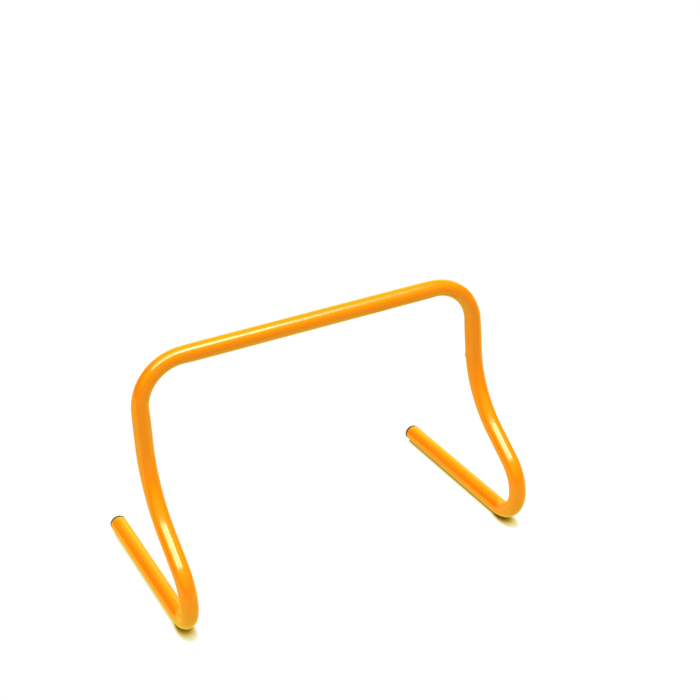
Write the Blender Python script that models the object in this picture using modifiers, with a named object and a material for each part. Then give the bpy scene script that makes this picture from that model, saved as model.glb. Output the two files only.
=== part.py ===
"""Agility hurdle: a low gate for dogs to jump, bent from one length of plastic tube.

The tube starts at the rear end of one foot, runs forward along the floor, turns back on itself in a
hairpin, rises as the lower leg, straightens up at the knee, turns at a top corner into the bar, and
comes down again on the other side as a mirror image. A push-in plug closes each end.

Units are metres. +X is to the right along the bar, +Y is to the rear, where the feet end, and +Z is
up. The origin is on the floor, at the middle of the width and of the depth.
"""

import math

import bpy
from mathutils import Vector

NAME = "agility_hurdle"

# Overall size
OVERALL_WIDTH = 0.436
OVERALL_DEPTH = 0.2675
OVERALL_HEIGHT = 0.305

# Tube
TUBE_RADIUS = 0.0100
TUBE_WALL = 0.0018
TUBE_SIDES = 16

# Bends: radii at the middle of the tube, and the steps that a quarter turn takes
HAIRPIN_RADIUS = 0.0435
KNEE_RADIUS = 0.112
CORNER_RADIUS = 0.053
STEPS_PER_QUARTER_TURN = 9

# Legs: the lower leg's slope above the floor, the height at which its line meets the upper leg's,
# and how far the upper leg leans in towards the middle by the height of the bar
LEG_SLOPE = math.radians(38.0)
KNEE_HEIGHT = 0.1465
UPPER_LEG_LEAN = 0.003

# End plugs
FIT_GAP = 0.0003
FLANGE_RADIUS = TUBE_RADIUS - 0.0002
FLANGE_THICKNESS = 0.0032
FLANGE_CHAMFER = 0.0004
STEM_LENGTH = 0.0160
STEM_RADIUS = 0.0063
STEM_BORE_RADIUS = 0.0048
STEM_FLOOR = 0.0012
RIB_COUNT = 4
RIB_PITCH = 0.0034
RIB_RADIUS = TUBE_RADIUS - TUBE_WALL - FIT_GAP
RIB_FIRST = 0.0022
RIB_LAND = 0.0006
RIB_RUN = 0.0014
PLUG_STEPS = 24

# Places worked out from the sizes above
HALF_WIDTH = OVERALL_WIDTH / 2 - TUBE_RADIUS
BAR_HEIGHT = OVERALL_HEIGHT - TUBE_RADIUS
HAIRPIN_TURN = math.pi - LEG_SLOPE
HAIRPIN_REACH = HAIRPIN_RADIUS * (math.tan(HAIRPIN_TURN / 2) - 1)
HAIRPIN_CORNER_Y = TUBE_RADIUS - OVERALL_DEPTH / 2 - HAIRPIN_REACH
KNEE_Y = HAIRPIN_CORNER_Y + (KNEE_HEIGHT - TUBE_RADIUS) / math.tan(LEG_SLOPE)
PLUG_FACE_Y = OVERALL_DEPTH / 2
TUBE_END_Y = PLUG_FACE_Y - FLANGE_THICKNESS - FIT_GAP


def clear_scene():
    for old in list(bpy.data.objects):
        bpy.data.objects.remove(old, do_unlink=True)


def make_collection():
    collection = bpy.data.collections.new(NAME)
    bpy.context.scene.collection.children.link(collection)
    return collection


def make_root(collection):
    root = bpy.data.objects.new(NAME + "_origin", None)
    root.empty_display_size = 0.05
    collection.objects.link(root)
    return root


def add_part(collection, root, name, data):
    part = bpy.data.objects.new(name, data)
    part.parent = root
    collection.objects.link(part)
    return part


# Materials

def make_plastic(name, colour, roughness):
    material = bpy.data.materials.new(name)
    material.use_nodes = True
    shader = material.node_tree.nodes["Principled BSDF"]
    shader.inputs["Base Color"].default_value = (*colour, 1.0)
    shader.inputs["Roughness"].default_value = roughness
    shader.inputs["Metallic"].default_value = 0.0
    material.diffuse_color = (*colour, 1.0)
    return material


def make_tube_material():
    return make_plastic("orange_tube_plastic", (1.0, 0.31, 0.01), 0.22)


def make_plug_material():
    return make_plastic("black_plug_plastic", (0.015, 0.015, 0.017), 0.5)


# Tube

def arc_through_corner(before, corner, after, radius):
    """Points of the arc of the given radius that rounds the corner between two straight runs."""
    towards_before = (before - corner).normalized()
    towards_after = (after - corner).normalized()
    half_opening = towards_before.angle(towards_after) / 2
    turn = math.pi - 2 * half_opening
    start = corner + towards_before * radius / math.tan(half_opening)
    middle_line = (towards_before + towards_after).normalized()
    centre = corner + middle_line * radius / math.sin(half_opening)
    outward = (start - centre) / radius
    steps = math.ceil(STEPS_PER_QUARTER_TURN * turn / (math.pi / 2))
    angles = [turn * step / steps for step in range(steps + 1)]
    return [centre + radius * (math.cos(a) * outward - math.sin(a) * towards_before) for a in angles]


def side_corners(side):
    """Corners of the bent line on one side, from the foot's rear end to the top corner."""
    x = side * HALF_WIDTH
    return [
        Vector((x, TUBE_END_Y, TUBE_RADIUS)),
        Vector((x, HAIRPIN_CORNER_Y, TUBE_RADIUS)),
        Vector((x, KNEE_Y, KNEE_HEIGHT)),
        Vector((x - side * UPPER_LEG_LEAN, KNEE_Y, BAR_HEIGHT)),
    ]


def tube_centreline():
    corners = side_corners(-1) + side_corners(1)[::-1]
    radii = [HAIRPIN_RADIUS, KNEE_RADIUS, CORNER_RADIUS]
    radii = radii + radii[::-1]
    points = [corners[0]]
    for index, radius in enumerate(radii, start=1):
        before, corner, after = corners[index - 1:index + 2]
        points += arc_through_corner(before, corner, after, radius)
    points.append(corners[-1])
    return points


def make_tube_curve(points):
    """A round section swept along the points, with a flat side facing the floor under each foot."""
    curve = bpy.data.curves.new("bent_tube", "CURVE")
    curve.dimensions = "3D"
    curve.twist_mode = "MINIMUM"
    curve.bevel_depth = TUBE_RADIUS / math.cos(math.pi / TUBE_SIDES)
    curve.bevel_resolution = TUBE_SIDES // 2 - 2
    curve.use_fill_caps = False
    spline = curve.splines.new("POLY")
    spline.points.add(len(points) - 1)
    for spline_point, point in zip(spline.points, points):
        spline_point.co = (*point, 1.0)
        spline_point.tilt = math.pi / TUBE_SIDES
    spline.use_smooth = True
    return curve


def build_bent_tube(collection, root):
    curve = make_tube_curve(tube_centreline())
    curve.materials.append(make_tube_material())
    tube = add_part(collection, root, "bent_tube", curve)
    wall = tube.modifiers.new("wall", "SOLIDIFY")
    wall.thickness = TUBE_WALL
    wall.offset = -1.0
    wall.use_even_offset = True
    return tube


# End plugs

def rib_outline(top):
    """One grip rib, from its upper edge down: a short slope, a narrow land and a long slope."""
    return [
        (STEM_RADIUS, top),
        (RIB_RADIUS, top - RIB_LAND),
        (RIB_RADIUS, top - 2 * RIB_LAND),
        (STEM_RADIUS, top - 2 * RIB_LAND - RIB_RUN),
    ]


def plug_profile():
    """Half section of a plug, radius and height, from the middle of its face round to its hollow."""
    outline = [
        (0.0, FLANGE_THICKNESS),
        (FLANGE_RADIUS - FLANGE_CHAMFER, FLANGE_THICKNESS),
        (FLANGE_RADIUS, FLANGE_THICKNESS - FLANGE_CHAMFER),
        (FLANGE_RADIUS, 0.0),
        (STEM_RADIUS, 0.0),
    ]
    for rib in range(RIB_COUNT):
        outline += rib_outline(-RIB_FIRST - rib * RIB_PITCH)
    outline += [
        (STEM_RADIUS, -STEM_LENGTH),
        (STEM_BORE_RADIUS, -STEM_LENGTH),
        (STEM_BORE_RADIUS, -STEM_FLOOR),
        (0.0, -STEM_FLOOR),
    ]
    return outline


def make_plug_mesh():
    outline = plug_profile()
    mesh = bpy.data.meshes.new("end_plug")
    vertices = [(radius, 0.0, height) for radius, height in outline]
    edges = [(index, index + 1) for index in range(len(outline) - 1)]
    mesh.from_pydata(vertices, edges, [])
    mesh.materials.append(make_plug_material())
    return mesh


def build_end_plug(collection, root, name, side, mesh):
    """A plug at a foot's rear end: its flange covers the tube's rim, its ribbed stem is inside."""
    plug = add_part(collection, root, name, mesh)
    plug.location = (side * HALF_WIDTH, TUBE_END_Y + FIT_GAP, TUBE_RADIUS)
    plug.rotation_euler = (-math.pi / 2, 0.0, 0.0)
    turned = plug.modifiers.new("turned", "SCREW")
    turned.axis = "Z"
    turned.steps = PLUG_STEPS
    turned.render_steps = PLUG_STEPS
    turned.use_merge_vertices = True
    turned.merge_threshold = 0.00001
    return plug


def build():
    clear_scene()
    collection = make_collection()
    root = make_root(collection)
    build_bent_tube(collection, root)
    plug_mesh = make_plug_mesh()
    build_end_plug(collection, root, "left_end_plug", -1, plug_mesh)
    build_end_plug(collection, root, "right_end_plug", 1, plug_mesh)


build()
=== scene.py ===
"""Agility hurdle: one bent length of glossy orange plastic tube with a black push-in plug in the
rear end of each foot, on a white studio floor.

Units are metres. +X is to the right along the bar, +Y to the rear, +Z up, and the floor is at z = 0.
"""

import math
from collections import namedtuple

import bpy
from mathutils import Matrix, Vector, noise


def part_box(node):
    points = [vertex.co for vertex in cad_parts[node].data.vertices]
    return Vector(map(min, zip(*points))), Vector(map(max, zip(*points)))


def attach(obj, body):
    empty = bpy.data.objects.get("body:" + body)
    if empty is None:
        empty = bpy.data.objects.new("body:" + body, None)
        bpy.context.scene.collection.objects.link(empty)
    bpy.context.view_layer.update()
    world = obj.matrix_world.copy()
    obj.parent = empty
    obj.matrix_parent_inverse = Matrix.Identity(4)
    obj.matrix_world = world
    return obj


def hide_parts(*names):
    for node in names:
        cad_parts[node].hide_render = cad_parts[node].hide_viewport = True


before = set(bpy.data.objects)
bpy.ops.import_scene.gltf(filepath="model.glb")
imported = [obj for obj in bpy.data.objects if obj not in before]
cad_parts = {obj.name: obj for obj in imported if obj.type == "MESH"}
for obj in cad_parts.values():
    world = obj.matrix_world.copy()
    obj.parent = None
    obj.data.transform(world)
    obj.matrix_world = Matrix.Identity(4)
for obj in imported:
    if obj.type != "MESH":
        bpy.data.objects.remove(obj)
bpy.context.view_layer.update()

# Tube and bends, the same sizes as the CAD model's
TUBE_RADIUS = 0.0100
TUBE_WALL = 0.0018
HAIRPIN_RADIUS = 0.0435
KNEE_RADIUS = 0.112
CORNER_RADIUS = 0.053
LEG_SLOPE = math.radians(38.0)
KNEE_HEIGHT = 0.1465
UPPER_LEG_LEAN = 0.003

# Places of the bent line, from the CAD model's box
TUBE_LOW, TUBE_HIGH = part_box("bent_tube")
HALF_WIDTH = TUBE_HIGH.x - TUBE_RADIUS
BAR_HEIGHT = TUBE_HIGH.z - TUBE_RADIUS
TUBE_END_Y = TUBE_HIGH.y
HAIRPIN_REACH = HAIRPIN_RADIUS * (math.tan((math.pi - LEG_SLOPE) / 2) - 1)
HAIRPIN_CORNER_Y = TUBE_LOW.y + TUBE_RADIUS - HAIRPIN_REACH
KNEE_Y = HAIRPIN_CORNER_Y + (KNEE_HEIGHT - TUBE_RADIUS) / math.tan(LEG_SLOPE)

# Fineness of the tube's surface
SIDES = 56
STRAIGHT_STEP = 0.004
BEND_STEP = 0.0018
BORE_EVERY = 4

# What heat bending does to the section: it flattens towards the bend's centre, draws in a little,
# and folds faintly on the inner side of the tightest bends
Bend = namedtuple("Bend", "radius flatten draw_in fold")
HAIRPIN = Bend(HAIRPIN_RADIUS, flatten=0.020, draw_in=0.010, fold=0.00012)
KNEE = Bend(KNEE_RADIUS, flatten=0.015, draw_in=0.010, fold=0.0)
CORNER = Bend(CORNER_RADIUS, flatten=0.030, draw_in=0.035, fold=0.00004)
BEND_FADE = 0.018
FOLD_PITCH = 0.0065
WAVE_DEPTH = 0.00010
WAVE_LENGTH = 0.055
WAVE_AROUND = 0.35
RIM_ROUNDING = 0.0004
RIM_STEPS = 3

# A small nub of plastic left on the inner side of the right leg, just above its knee
NUB_HEIGHT = 0.0014
NUB_REACH = 0.0013
NUB_LEVEL = 0.1965
NUB_SIDE = Vector((-0.9, 0.43, 0.0)).normalized()
NUB_FADED = 4 * NUB_REACH


# ---------------------------------------------------------------- the tube's centreline

Station = namedtuple("Station", "point tangent")
Turn = namedtuple("Turn", "start end axis bend")


def side_corners(side):
    """Corners of the bent line on one side, from the foot's rear end to the top corner."""
    x = side * HALF_WIDTH
    return [
        Vector((x, TUBE_END_Y, TUBE_RADIUS)),
        Vector((x, HAIRPIN_CORNER_Y, TUBE_RADIUS)),
        Vector((x, KNEE_Y, KNEE_HEIGHT)),
        Vector((x - side * UPPER_LEG_LEAN, KNEE_Y, BAR_HEIGHT)),
    ]


def straight_stations(start, end):
    """Stations from start up to, but not at, end."""
    run = end - start
    steps = max(1, math.ceil(run.length / STRAIGHT_STEP))
    return [Station(start + run * step / steps, run.normalized()) for step in range(steps)]


def turn_stations(start, centre, travel, angle, radius):
    """Stations from the turn's start up to, but not at, its end."""
    outward = (start - centre).normalized()
    steps = math.ceil(radius * angle / BEND_STEP)
    stations = []
    for step in range(steps):
        a = angle * step / steps
        point = centre + radius * (math.cos(a) * outward + math.sin(a) * travel)
        tangent = math.cos(a) * travel - math.sin(a) * outward
        stations.append(Station(point, tangent))
    return stations


def bent_line():
    """Stations along the whole tube, and the turns with the lengths at which they start and end."""
    corners = side_corners(-1) + side_corners(1)[::-1]
    bends = [HAIRPIN, KNEE, CORNER, CORNER, KNEE, HAIRPIN]
    stations = []
    turns = []
    length = 0.0
    position = corners[0]
    for index, bend in enumerate(bends, start=1):
        before, corner, after = corners[index - 1:index + 2]
        travel = (corner - before).normalized()
        leaving = (after - corner).normalized()
        angle = travel.angle(leaving)
        tangent_length = bend.radius * math.tan(angle / 2)
        start = corner - travel * tangent_length
        axis = travel.cross(leaving).normalized()
        centre = start + axis.cross(travel) * bend.radius
        stations += straight_stations(position, start)
        length += (start - position).length
        stations += turn_stations(start, centre, travel, angle, bend.radius)
        turns.append(Turn(length, length + bend.radius * angle, axis, bend))
        length += bend.radius * angle
        position = corner + leaving * tangent_length
    stations += straight_stations(position, corners[-1])
    stations.append(Station(corners[-1], (corners[-1] - position).normalized()))
    return stations, turns


def lengths_along(stations):
    lengths = [0.0]
    for before, here in zip(stations, stations[1:]):
        lengths.append(lengths[-1] + (here.point - before.point).length)
    return lengths


def carried_normals(stations):
    """A direction across the tube at each station, carried along without twist."""
    normal = Vector((0.0, 0.0, 1.0))
    normals = [normal.copy()]
    for before, here in zip(stations, stations[1:]):
        normal = before.tangent.rotation_difference(here.tangent) @ normal
        normal = (normal - here.tangent * normal.dot(here.tangent)).normalized()
        normals.append(normal.copy())
    return normals


# ---------------------------------------------------------------- the tube's surface

def smooth_step(low, high, value):
    t = min(1.0, max(0.0, (value - low) / (high - low)))
    return t * t * (3.0 - 2.0 * t)


def turn_share(turn, length):
    """1 inside a turn, fading to 0 over the straight on each side of it."""
    rising = smooth_step(turn.start - BEND_FADE, turn.start + BEND_FADE, length)
    falling = smooth_step(turn.end - BEND_FADE, turn.end + BEND_FADE, length)
    return rising - falling


def section_radius(station, length, direction, turns):
    """The tube's outer radius in one direction, with its bends' effects, slow waviness and nub."""
    radius = TUBE_RADIUS
    for turn, share in turns:
        facing = direction.dot(turn.axis.cross(station.tangent))
        flat = -facing * facing + 0.5 * (1.0 - facing * facing)
        radius += TUBE_RADIUS * share * (turn.bend.flatten * flat - turn.bend.draw_in)
        middle = (turn.start + turn.end) / 2
        fold = math.sin(2 * math.pi * (length - middle) / FOLD_PITCH)
        radius += turn.bend.fold * share * max(0.0, facing) ** 3 * fold
    place = direction * WAVE_AROUND + Vector((0.0, 0.0, length / WAVE_LENGTH))
    radius -= WAVE_DEPTH * (0.5 + 0.5 * noise.noise(place))
    if station.point.x > 0 and abs(station.point.z - NUB_LEVEL) < NUB_FADED:
        aside = TUBE_RADIUS * direction.angle(NUB_SIDE)
        away = (aside ** 2 + (station.point.z - NUB_LEVEL) ** 2) / NUB_REACH ** 2
        radius += NUB_HEIGHT * math.exp(-away)
    return radius


Ring = namedtuple("Ring", "points places")


def make_ring(station, length, normal, inset, turns, bore=False):
    """One ring of points round the tube, and the same points as they lie on the unbent tube."""
    across = station.tangent.cross(normal)
    near = [(turn, turn_share(turn, length)) for turn in turns]
    near = [(turn, share) for turn, share in near if share > 0.0]
    points = []
    places = []
    for side in range(SIDES):
        angle = 2 * math.pi * side / SIDES
        direction = math.cos(angle) * normal + math.sin(angle) * across
        if bore:
            radius = TUBE_RADIUS - TUBE_WALL + inset
        else:
            radius = section_radius(station, length, direction, near) - inset
        points.append(station.point + direction * radius)
        places.append((radius * math.cos(angle), radius * math.sin(angle), length))
    return Ring(points, places)


def rim_rings(station, length, normal, turns, outward):
    """Rings over the rounded outer and inner edges of a cut end, from outside to inside."""
    rings = []
    for bore in (False, True):
        for step in range(RIM_STEPS + 1):
            a = math.pi / 2 * step / RIM_STEPS
            if bore:
                inset, back = RIM_ROUNDING * (1 - math.sin(a)), RIM_ROUNDING * (1 - math.cos(a))
            else:
                inset, back = RIM_ROUNDING * (1 - math.cos(a)), RIM_ROUNDING * (1 - math.sin(a))
            moved = Station(station.point - outward * back, station.tangent)
            rings.append(make_ring(moved, length, normal, inset, turns, bore))
    return rings


def tube_rings():
    """Rings in order over the outside, round one rim, back through the bore, round the other."""
    stations, turns = bent_line()
    lengths = lengths_along(stations)
    normals = carried_normals(stations)
    rows = list(zip(stations, lengths, normals))
    body = rows[1:-1]
    outside = [make_ring(*row, 0.0, turns) for row in body]
    inside = [make_ring(*row, 0.0, turns, bore=True) for row in body[::-BORE_EVERY]]
    first, last = rows[0], rows[-1]
    last_rim = rim_rings(*last, turns, last[0].tangent)
    first_rim = rim_rings(*first, turns, -first[0].tangent)[::-1]
    return outside + last_rim + inside + first_rim


def closed_sweep(name, rings):
    """A mesh through the rings, closed round each ring and from the last ring to the first."""
    mesh = bpy.data.meshes.new(name)
    vertices = [point for ring in rings for point in ring.points]
    faces = []
    for row in range(len(rings)):
        here = row * SIDES
        there = (row + 1) % len(rings) * SIDES
        for side in range(SIDES):
            after = (side + 1) % SIDES
            faces.append((here + side, here + after, there + after, there + side))
    mesh.from_pydata(vertices, [], faces)
    mesh.update()
    mesh.shade_smooth()
    unbent = mesh.attributes.new("unbent", "FLOAT_VECTOR", "POINT")
    unbent.data.foreach_set("vector", [n for ring in rings for place in ring.places for n in place])
    return mesh


def add_piece(name, mesh, material, node):
    piece = bpy.data.objects.new(name, mesh)
    bpy.context.scene.collection.objects.link(piece)
    mesh.materials.append(material)
    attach(piece, "root")
    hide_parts(node)
    return piece


def build_tube(material):
    mesh = closed_sweep("tube_surface", tube_rings())
    return add_piece("tube_surface", mesh, material, "bent_tube")


# ---------------------------------------------------------------- end plugs

PLUG_SIDES = 64
FLANGE_RADIUS = 0.0098
FLANGE_THICKNESS = 0.0032
FLANGE_EDGE = 0.0004
FLANGE_BEVEL = 0.0001
FACE_DOME = 0.0003
FACE_DOME_STEPS = 6
GATE_RADIUS = 0.0011
GATE_DEPTH = 0.0002
GATE_SHARES = (0.5, 0.8, 1.0, 1.3)
STEM_RADIUS = 0.0063
STEM_BORE_RADIUS = 0.0048
STEM_LENGTH = 0.0160
STEM_FLOOR = 0.0012
STEM_EDGE = 0.0003
RIB_RADIUS = 0.0079
RIB_COUNT = 4
RIB_FIRST = 0.0022
RIB_PITCH = 0.0034
RIB_RISE = 0.0006
RIB_RUN = 0.0014
RIB_ROUNDING_STEPS = 4
EDGE_STEPS = 4
SHARP_ANGLE = math.radians(50)


def quarter_arc(centre, radius, start_angle):
    """Points of a quarter circle, clockwise from start_angle, in radius and height."""
    angles = [start_angle - math.pi / 2 * step / EDGE_STEPS for step in range(EDGE_STEPS + 1)]
    return [(centre[0] + radius * math.cos(a), centre[1] + radius * math.sin(a)) for a in angles]


def face_outline():
    """The plug's outer face: a small gate dimple, a shallow dome and a rounded edge."""
    outline = [(0.0, FLANGE_THICKNESS - GATE_DEPTH)]
    for share in GATE_SHARES:
        depth = GATE_DEPTH * (1 - smooth_step(GATE_SHARES[0], GATE_SHARES[-1], share))
        outline.append((GATE_RADIUS * share, FLANGE_THICKNESS - depth))
    dome_start = outline[-1][0]
    dome_end = FLANGE_RADIUS - FLANGE_EDGE
    for step in range(1, FACE_DOME_STEPS + 1):
        t = step / FACE_DOME_STEPS
        radius = dome_start + (dome_end - dome_start) * t
        outline.append((radius, FLANGE_THICKNESS - FACE_DOME * t * t))
    edge_centre = (dome_end, FLANGE_THICKNESS - FACE_DOME - FLANGE_EDGE)
    outline += quarter_arc(edge_centre, FLANGE_EDGE, math.pi / 2)[1:]
    outline += [
        (FLANGE_RADIUS, FLANGE_BEVEL),
        (FLANGE_RADIUS - FLANGE_BEVEL, 0.0),
        (STEM_RADIUS, 0.0),
    ]
    return outline


def rib_outline(top):
    """One grip rib: a rounded crest that rises quickly and runs out slowly down the stem."""
    rise = RIB_RADIUS - STEM_RADIUS
    outline = [(STEM_RADIUS, top)]
    for step in range(1, RIB_ROUNDING_STEPS + 1):
        t = step / RIB_ROUNDING_STEPS
        outline.append((STEM_RADIUS + rise * math.sin(t * math.pi / 2), top - RIB_RISE * t))
    outline.append((RIB_RADIUS, top - 2 * RIB_RISE))
    outline.append((STEM_RADIUS, top - 2 * RIB_RISE - RIB_RUN))
    return outline


def plug_outline():
    """The whole plug: its face, the ribs down its stem, and the bore up inside the stem."""
    outline = face_outline()
    for rib in range(RIB_COUNT):
        outline += rib_outline(-RIB_FIRST - rib * RIB_PITCH)
    edge = (STEM_RADIUS - STEM_EDGE, -STEM_LENGTH + STEM_EDGE)
    outline += quarter_arc(edge, STEM_EDGE, 0.0)
    outline += [
        (STEM_BORE_RADIUS, -STEM_LENGTH),
        (STEM_BORE_RADIUS, -STEM_FLOOR),
        (0.0, -STEM_FLOOR),
    ]
    return outline


def turned_mesh(name, outline):
    """A closed turned body from an outline that starts and ends on the axis, which is +Z."""
    vertices = [Vector((0.0, 0.0, outline[0][1])), Vector((0.0, 0.0, outline[-1][1]))]
    rows = outline[1:-1]
    for radius, height in rows:
        for side in range(PLUG_SIDES):
            angle = 2 * math.pi * side / PLUG_SIDES
            vertices.append(Vector((radius * math.cos(angle), radius * math.sin(angle), height)))
    faces = []
    for side in range(PLUG_SIDES):
        after = (side + 1) % PLUG_SIDES
        faces.append((0, 2 + side, 2 + after))
        last = 2 + (len(rows) - 1) * PLUG_SIDES
        faces.append((1, last + after, last + side))
        for row in range(len(rows) - 1):
            here = 2 + row * PLUG_SIDES
            there = here + PLUG_SIDES
            faces.append((here + side, there + side, there + after, here + after))
    mesh = bpy.data.meshes.new(name)
    mesh.from_pydata(vertices, [], faces)
    mesh.update()
    mesh.shade_smooth()
    mesh.set_sharp_from_angle(angle=SHARP_ANGLE)
    return mesh


def build_plug(side_name, material):
    """A plug in its CAD node's place: its face is at the rear, and its stem lies in the tube."""
    node = side_name + "_end_plug"
    low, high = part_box(node)
    mesh = turned_mesh(side_name + "_plug", plug_outline())
    seat = Vector(((low.x + high.x) / 2, high.y - FLANGE_THICKNESS, TUBE_RADIUS))
    mesh.transform(Matrix.Translation(seat) @ Matrix.Rotation(-math.pi / 2, 4, "X"))
    return add_piece(side_name + "_plug", mesh, material, node)


# ---------------------------------------------------------------- materials

def new_material(name):
    material = bpy.data.materials.new(name)
    material.use_nodes = True
    tree = material.node_tree
    return material, tree, tree.nodes["Principled BSDF"]


def add_node(tree, kind, **settings):
    node = tree.nodes.new(kind)
    for name, value in settings.items():
        setattr(node, name, value)
    return node


def unbent_place(tree, stretch):
    """The place on the unbent tube, scaled across and along it."""
    place = add_node(tree, "ShaderNodeAttribute", attribute_name="unbent")
    scaled = add_node(tree, "ShaderNodeMapping")
    scaled.inputs["Scale"].default_value = stretch
    tree.links.new(place.outputs["Vector"], scaled.inputs["Vector"])
    return scaled.outputs["Vector"]


def noise_at(tree, place, scale, detail, roughness=0.5):
    texture = add_node(tree, "ShaderNodeTexNoise")
    texture.inputs["Scale"].default_value = scale
    texture.inputs["Detail"].default_value = detail
    texture.inputs["Roughness"].default_value = roughness
    tree.links.new(place, texture.inputs["Vector"])
    return texture.outputs["Fac"]


def ramp(tree, value, stops):
    """Colour stops along a value: (position, colour) pairs."""
    node = add_node(tree, "ShaderNodeValToRGB")
    elements = node.color_ramp.elements
    while len(elements) < len(stops):
        elements.new(0.5)
    for element, (position, colour) in zip(elements, stops):
        element.position = position
        element.color = (*colour, 1.0)
    tree.links.new(value, node.inputs["Fac"])
    return node.outputs["Color"]


def map_range(tree, value, limits, interpolation="LINEAR"):
    """A Map Range node; limits are From Min, From Max, To Min and To Max."""
    node = add_node(tree, "ShaderNodeMapRange", interpolation_type=interpolation)
    for name, limit in zip(("From Min", "From Max", "To Min", "To Max"), limits):
        node.inputs[name].default_value = limit
    tree.links.new(value, node.inputs["Value"])
    return node.outputs["Result"]


def span(tree, value, low, high):
    """The value's 0.3 to 0.7, where noise mostly lies, spread over low to high."""
    return map_range(tree, value, (0.3, 0.7, low, high))


def bump(tree, height, distance, strength, below=None):
    """A Bump node's normal, laid over the bump below it if there is one."""
    node = add_node(tree, "ShaderNodeBump")
    node.inputs["Distance"].default_value = distance
    node.inputs["Strength"].default_value = strength
    tree.links.new(height, node.inputs["Height"])
    if below is not None:
        tree.links.new(below, node.inputs["Normal"])
    return node.outputs["Normal"]


# Colours and finish of the tube. Some of its noise is drawn out along it by the extruding. Noise
# scales are cycles in a metre, and bump depths are in metres
ORANGE_DEEP = (0.88, 0.190, 0.0015)
ORANGE = (0.92, 0.208, 0.002)
ORANGE_LIGHT = (0.95, 0.228, 0.003)
DRAWN_OUT = (1.0, 1.0, 0.06)
EVEN = (1.0, 1.0, 1.0)
STREAK_SCALE = 140.0
HAZE_SCALE = 60.0
TUBE_ROUGHNESS = (0.14, 0.19)
DIE_LINE_SCALE, DIE_LINE_DEPTH, DIE_LINE_STRENGTH = 900.0, 0.00004, 0.07
PEEL_SCALE, PEEL_DEPTH, PEEL_STRENGTH = 420.0, 0.00005, 0.05
TUBE_IOR = 1.7
TUBE_SPECULAR = 1.0


def tube_plastic():
    """Glossy extruded plastic: faint colour streaks along it, haze, die lines and orange peel."""
    material, tree, shader = new_material("orange_tube_plastic")
    along = unbent_place(tree, DRAWN_OUT)
    even = unbent_place(tree, EVEN)
    streaks = noise_at(tree, along, STREAK_SCALE, 3.0)
    stops = [(0.30, ORANGE_DEEP), (0.50, ORANGE), (0.72, ORANGE_LIGHT)]
    tree.links.new(ramp(tree, streaks, stops), shader.inputs["Base Color"])
    haze = noise_at(tree, even, HAZE_SCALE, 5.0)
    tree.links.new(span(tree, haze, *TUBE_ROUGHNESS), shader.inputs["Roughness"])
    lines = noise_at(tree, along, DIE_LINE_SCALE, 2.0)
    die_lines = bump(tree, lines, DIE_LINE_DEPTH, DIE_LINE_STRENGTH)
    dimples = noise_at(tree, even, PEEL_SCALE, 2.0)
    peel = bump(tree, dimples, PEEL_DEPTH, PEEL_STRENGTH, die_lines)
    tree.links.new(peel, shader.inputs["Normal"])
    shader.inputs["IOR"].default_value = TUBE_IOR
    shader.inputs["Specular IOR Level"].default_value = TUBE_SPECULAR
    return material


# Colours and finish of the plugs
PLUG_BLACK = (0.012, 0.010, 0.010)
PLUG_DUSTY = (0.034, 0.027, 0.026)
DUST_SCALE = 260.0
DUST_ROUGHNESS = 0.6
PLUG_ROUGHNESS = (0.42, 0.58)
PLUG_SPECULAR = 0.25
GRAIN_SCALE, GRAIN_DEPTH, GRAIN_STRENGTH = 2600.0, 0.00004, 0.5


def plug_plastic():
    """Black moulded plastic with a fine spark-eroded texture and a little dust."""
    material, tree, shader = new_material("black_plug_plastic")
    place = add_node(tree, "ShaderNodeTexCoord").outputs["Object"]
    dust = noise_at(tree, place, DUST_SCALE, 5.0, DUST_ROUGHNESS)
    stops = [(0.35, PLUG_BLACK), (0.75, PLUG_DUSTY)]
    tree.links.new(ramp(tree, dust, stops), shader.inputs["Base Color"])
    tree.links.new(span(tree, dust, *PLUG_ROUGHNESS), shader.inputs["Roughness"])
    shader.inputs["Specular IOR Level"].default_value = PLUG_SPECULAR
    grain = bump(tree, noise_at(tree, place, GRAIN_SCALE, 2.0), GRAIN_DEPTH, GRAIN_STRENGTH)
    tree.links.new(grain, shader.inputs["Normal"])
    return material


# ---------------------------------------------------------------- studio

CAMERA_PLACE = Vector((-0.545, -1.2645, 0.917))
CAMERA_HEADING = math.radians(25.54)
CAMERA_TILT_DOWN = math.radians(26.13)
CAMERA_ROLL = math.radians(3.55)
CAMERA_LENS = 69.3
SENSOR_WIDTH = 36.0
CAMERA_NEAR = 0.01


def add_camera():
    data = bpy.data.cameras.new("camera")
    data.lens = CAMERA_LENS
    data.sensor_width = SENSOR_WIDTH
    data.clip_start = CAMERA_NEAR
    camera = bpy.data.objects.new("camera", data)
    bpy.context.scene.collection.objects.link(camera)
    turn = Matrix.Rotation(-CAMERA_HEADING, 4, "Z")
    tilt = Matrix.Rotation(math.pi / 2 - CAMERA_TILT_DOWN, 4, "X")
    roll = Matrix.Rotation(-CAMERA_ROLL, 4, "Z")
    camera.matrix_world = Matrix.Translation(CAMERA_PLACE) @ turn @ tilt @ roll
    bpy.context.scene.camera = camera


# Light that the object sees: pale only from the softbox's core and hot spot, and coloured from
# everything else, which gives its orange plastic golden edges; the camera sees a white room
SOFTBOX_COLOUR = (0.40, 1.0, 0.10, 1.0)
CORE_COLOUR = (1.0, 0.95, 0.66, 1.0)
WARM_COLOUR = (1.0, 0.12, 0.012, 1.0)
GOLD_COLOUR = (0.05, 1.0, 0.03, 1.0)
BACKDROP_COLOUR = (0.12, 1.0, 0.17, 1.0)
FLOOR_COLOUR = (0.78, 1.0, 0.12, 1.0)
SOFTBOX_LIGHT = 1.5
CORE_LIGHT = 3.9
HOT_SPOT_LIGHT = 4.2
WARM_LIGHT = 1.09
CEILING_GOLD_LIGHT = 0.90
WALL_GOLD_LIGHT = 0.32
BACKDROP_LIGHT = 1.05
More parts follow.
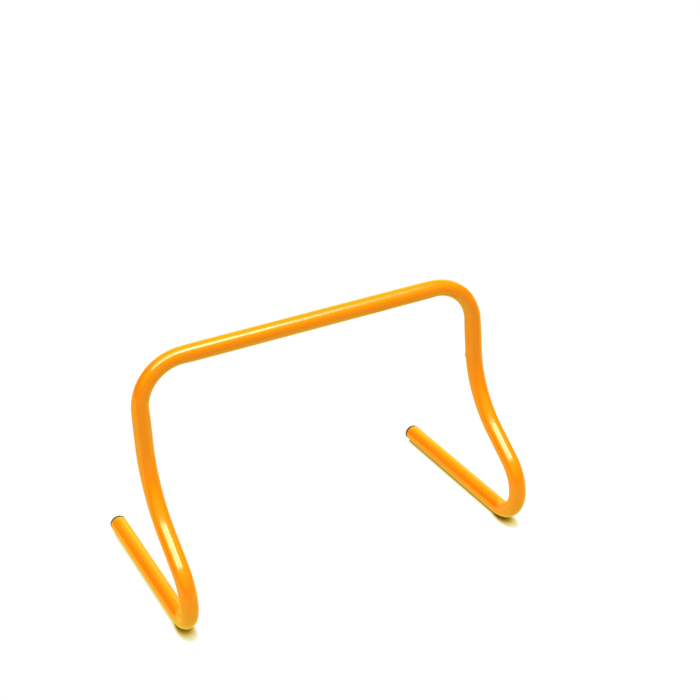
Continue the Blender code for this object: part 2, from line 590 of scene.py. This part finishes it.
# The softbox overhead, its core and a hot spot, as the slopes x/z and y/z of the directions to
# their middles, their half sizes and how wide their soft edges are
SOFTBOX_MIDDLE = (-0.08, -0.20)
SOFTBOX_HALF_SIZE = (0.66, 0.64)
SOFTBOX_EDGE = 0.16
CORE_MIDDLE = (-0.23, -0.30)
CORE_HALF_SIZE = (0.63, 0.24)
CORE_EDGE = 0.22
HOT_SPOT_MIDDLE = (0.26, -0.32)
HOT_SPOT_HALF_SIZE = (0.13, 0.18)
HOT_SPOT_EDGE = 0.20
LOWEST_OVERHEAD = 0.02
# Where the walls give way to the ceiling, as the direction's z
WALLS_TO_CEILING = (0.35, 0.60)
# The ways to the middle of the backdrop and of the dark rear left corner, and how closely a
# direction points there where each starts and is full
BACKDROP_WAY = (0.38, 0.92)
BACKDROP_EDGE = (0.60, 0.92)
DARK_CORNER_WAY = (-0.70, 0.72)
DARK_CORNER_EDGE = (0.45, 0.88)
DARK_CORNER_SHARE = 0.12
# How bright the floor is behind the object, under it and in front of it, and the places between
FLOOR_LIGHTS = (0.86, 1.06, 0.60)
FLOOR_BEHIND = (0.10, 0.45)
FLOOR_IN_FRONT = (-0.45, -0.10)
FLOOR_HALF_SIZE = 8.0
WHITE = (1.0, 1.0, 1.0, 1.0)
FLOOR_WHITE_LIGHT = 1.02
# Contact shadow: how dark the floor looks at each share of open space above it
SHADOW_REACH = 0.05
SHADOW_SAMPLES = 24
SHADOW_STOPS = [
    (0.14, (0.08, 0.030, 0.0005)),
    (0.26, (0.34, 0.175, 0.008)),
    (0.30, (0.54, 0.36, 0.05)),
    (0.34, (0.74, 0.59, 0.19)),
    (0.43, (0.93, 0.88, 0.58)),
    (0.53, (1.0, 1.0, 1.0)),
]
# The darker patch under each hairpin: the middle of the two, how far each reaches sideways and
# along the foot, its depth, and where it starts to fade as a share of its reach, squared
SHADE_MIDDLE = (HALF_WIDTH, HAIRPIN_CORNER_Y + HAIRPIN_REACH + HAIRPIN_RADIUS - 0.020)
SHADE_REACH = (0.014, 0.030)
SHADE_DEPTH = 0.40
SHADE_FADE_START = 0.3


def maths(tree, operation, *values):
    """A Math node; each value is a number or another node's output."""
    node = add_node(tree, "ShaderNodeMath", operation=operation)
    for socket, value in zip(node.inputs, values):
        if isinstance(value, (int, float)):
            socket.default_value = value
        else:
            tree.links.new(value, socket)
    return node.outputs["Value"]


def fade(tree, value, low, high, at_low, at_high):
    """A smooth change from at_low to at_high as the value goes from low to high."""
    return map_range(tree, value, (low, high, at_low, at_high), "SMOOTHSTEP")


def overhead_panel(tree, slopes, middle, half_size, edge, light):
    """The light from a soft-edged rectangle overhead, in the direction with these slopes."""
    shares = []
    for slope, centre, half in zip(slopes, middle, half_size):
        away = maths(tree, "ABSOLUTE", maths(tree, "SUBTRACT", slope, centre))
        shares.append(fade(tree, away, half - edge / 2, half + edge / 2, 1.0, 0.0))
    return maths(tree, "MULTIPLY", maths(tree, "MULTIPLY", *shares), light)


def seen_by_camera(tree, plain, lit):
    """A mix of two shaders: lit for every ray except the camera's, which sees plain."""
    seen = add_node(tree, "ShaderNodeLightPath").outputs["Is Camera Ray"]
    mix = add_node(tree, "ShaderNodeMixShader")
    tree.links.new(seen, mix.inputs[0])
    tree.links.new(lit, mix.inputs[1])
    tree.links.new(plain, mix.inputs[2])
    return mix.outputs[0]


def glow(tree, kind, colour, light):
    """A Background or Emission node; the light is a number or another node's output."""
    node = add_node(tree, kind)
    node.inputs["Color"].default_value = colour
    if isinstance(light, float):
        node.inputs["Strength"].default_value = light
    else:
        tree.links.new(light, node.inputs["Strength"])
    return node.outputs[0]


def add_world():
    """A studio: a large softbox with a core and a hot spot, a ceiling, walls and a backdrop."""
    world = bpy.data.worlds.new("studio")
    world.use_nodes = True
    tree = world.node_tree
    tree.nodes.clear()
    direction = add_node(tree, "ShaderNodeTexCoord").outputs["Generated"]
    parts = add_node(tree, "ShaderNodeSeparateXYZ")
    tree.links.new(direction, parts.inputs["Vector"])
    x, y, z = parts.outputs
    height = maths(tree, "MAXIMUM", z, LOWEST_OVERHEAD)
    slopes = [maths(tree, "DIVIDE", part, height) for part in (x, y)]
    softbox, core, hot_spot = [
        overhead_panel(tree, slopes, middle, half_size, edge, light)
        for middle, half_size, edge, light in (
            (SOFTBOX_MIDDLE, SOFTBOX_HALF_SIZE, SOFTBOX_EDGE, 1.0),
            (CORE_MIDDLE, CORE_HALF_SIZE, CORE_EDGE, CORE_LIGHT),
            (HOT_SPOT_MIDDLE, HOT_SPOT_HALF_SIZE, HOT_SPOT_EDGE, HOT_SPOT_LIGHT),
        )
    ]
    around = maths(tree, "SUBTRACT", 1.0, softbox)
    to_backdrop, to_corner = [
        maths(tree, "ADD", maths(tree, "MULTIPLY", x, way[0]), maths(tree, "MULTIPLY", y, way[1]))
        for way in (BACKDROP_WAY, DARK_CORNER_WAY)
    ]
    gold = fade(tree, to_corner, *DARK_CORNER_EDGE, 1.0, DARK_CORNER_SHARE)
    gold = maths(tree, "MULTIPLY", gold, around)
    gold_light = fade(tree, z, 0.0, WALLS_TO_CEILING[1], WALL_GOLD_LIGHT, CEILING_GOLD_LIGHT)
    low = fade(tree, z, *WALLS_TO_CEILING, 1.0, 0.0)
    backdrop = fade(tree, to_backdrop, *BACKDROP_EDGE, 0.0, BACKDROP_LIGHT)
    backdrop = maths(tree, "MULTIPLY", low, backdrop)
    room = None
    for colour, light in (
        (SOFTBOX_COLOUR, maths(tree, "MULTIPLY", softbox, SOFTBOX_LIGHT)),
        (CORE_COLOUR, maths(tree, "ADD", core, hot_spot)),
        (WARM_COLOUR, maths(tree, "MULTIPLY", around, WARM_LIGHT)),
        (GOLD_COLOUR, maths(tree, "MULTIPLY", gold, gold_light)),
        (BACKDROP_COLOUR, backdrop),
    ):
        part = glow(tree, "ShaderNodeBackground", colour, light)
        if room is None:
            room = part
        else:
            both = add_node(tree, "ShaderNodeAddShader")
            tree.links.new(room, both.inputs[0])
            tree.links.new(part, both.inputs[1])
            room = both.outputs[0]
    plain = glow(tree, "ShaderNodeBackground", WHITE, 1.0)
    out = add_node(tree, "ShaderNodeOutputWorld")
    tree.links.new(seen_by_camera(tree, plain, room), out.inputs["Surface"])
    bpy.context.scene.world = world


def hairpin_shade(tree, x, y):
    """The share of its brightness that the floor keeps under the two hairpins."""
    aside = maths(tree, "SUBTRACT", maths(tree, "ABSOLUTE", x), SHADE_MIDDLE[0])
    forward = maths(tree, "SUBTRACT", y, SHADE_MIDDLE[1])
    away = [
        maths(tree, "POWER", maths(tree, "DIVIDE", run, reach), 2.0)
        for run, reach in zip((aside, forward), SHADE_REACH)
    ]
    away = maths(tree, "ADD", *away)
    return fade(tree, away, SHADE_FADE_START, 1.0, 1.0 - SHADE_DEPTH, 1.0)


def add_floor():
    """A white floor with a contact shadow, which lights the object with its own warm glow."""
    size = FLOOR_HALF_SIZE
    mesh = bpy.data.meshes.new("floor")
    corners = [(-size, -size, 0), (size, -size, 0), (size, size, 0), (-size, size, 0)]
    mesh.from_pydata(corners, [], [(0, 1, 2, 3)])
    floor = bpy.data.objects.new("floor", mesh)
    bpy.context.scene.collection.objects.link(floor)
    material, tree, shader = new_material("floor_white")
    tree.nodes.remove(shader)
    material.cycles.emission_sampling = "NONE"
    place = add_node(tree, "ShaderNodeSeparateXYZ")
    tree.links.new(add_node(tree, "ShaderNodeTexCoord").outputs["Object"], place.inputs["Vector"])
    x, y = place.outputs[0], place.outputs[1]
    open_space = add_node(tree, "ShaderNodeAmbientOcclusion", samples=SHADOW_SAMPLES)
    open_space.inputs["Distance"].default_value = SHADOW_REACH
    openness = maths(tree, "MULTIPLY", open_space.outputs["AO"], hairpin_shade(tree, x, y))
    white = glow(tree, "ShaderNodeEmission", WHITE, FLOOR_WHITE_LIGHT)
    tree.links.new(ramp(tree, openness, SHADOW_STOPS), white.node.inputs["Color"])
    behind, under, in_front = FLOOR_LIGHTS
    rear_light = fade(tree, y, *FLOOR_BEHIND, under, behind)
    front_share = fade(tree, y, *FLOOR_IN_FRONT, in_front / under, 1.0)
    light = maths(tree, "MULTIPLY", rear_light, front_share)
    bounce = glow(tree, "ShaderNodeEmission", FLOOR_COLOUR, light)
    surface = seen_by_camera(tree, white, bounce)
    tree.links.new(surface, tree.nodes["Material Output"].inputs["Surface"])
    mesh.materials.append(material)


def use_plain_view():
    """Colours are shown as they are, with no film look."""
    view = bpy.context.scene.view_settings
    view.view_transform = "Standard"
    view.look = "None"
    view.exposure = 0.0
    view.gamma = 1.0


add_camera()
add_world()
add_floor()
use_plain_view()
build_tube(tube_plastic())
plug_material = plug_plastic()
build_plug("left", plug_material)
build_plug("right", plug_material)
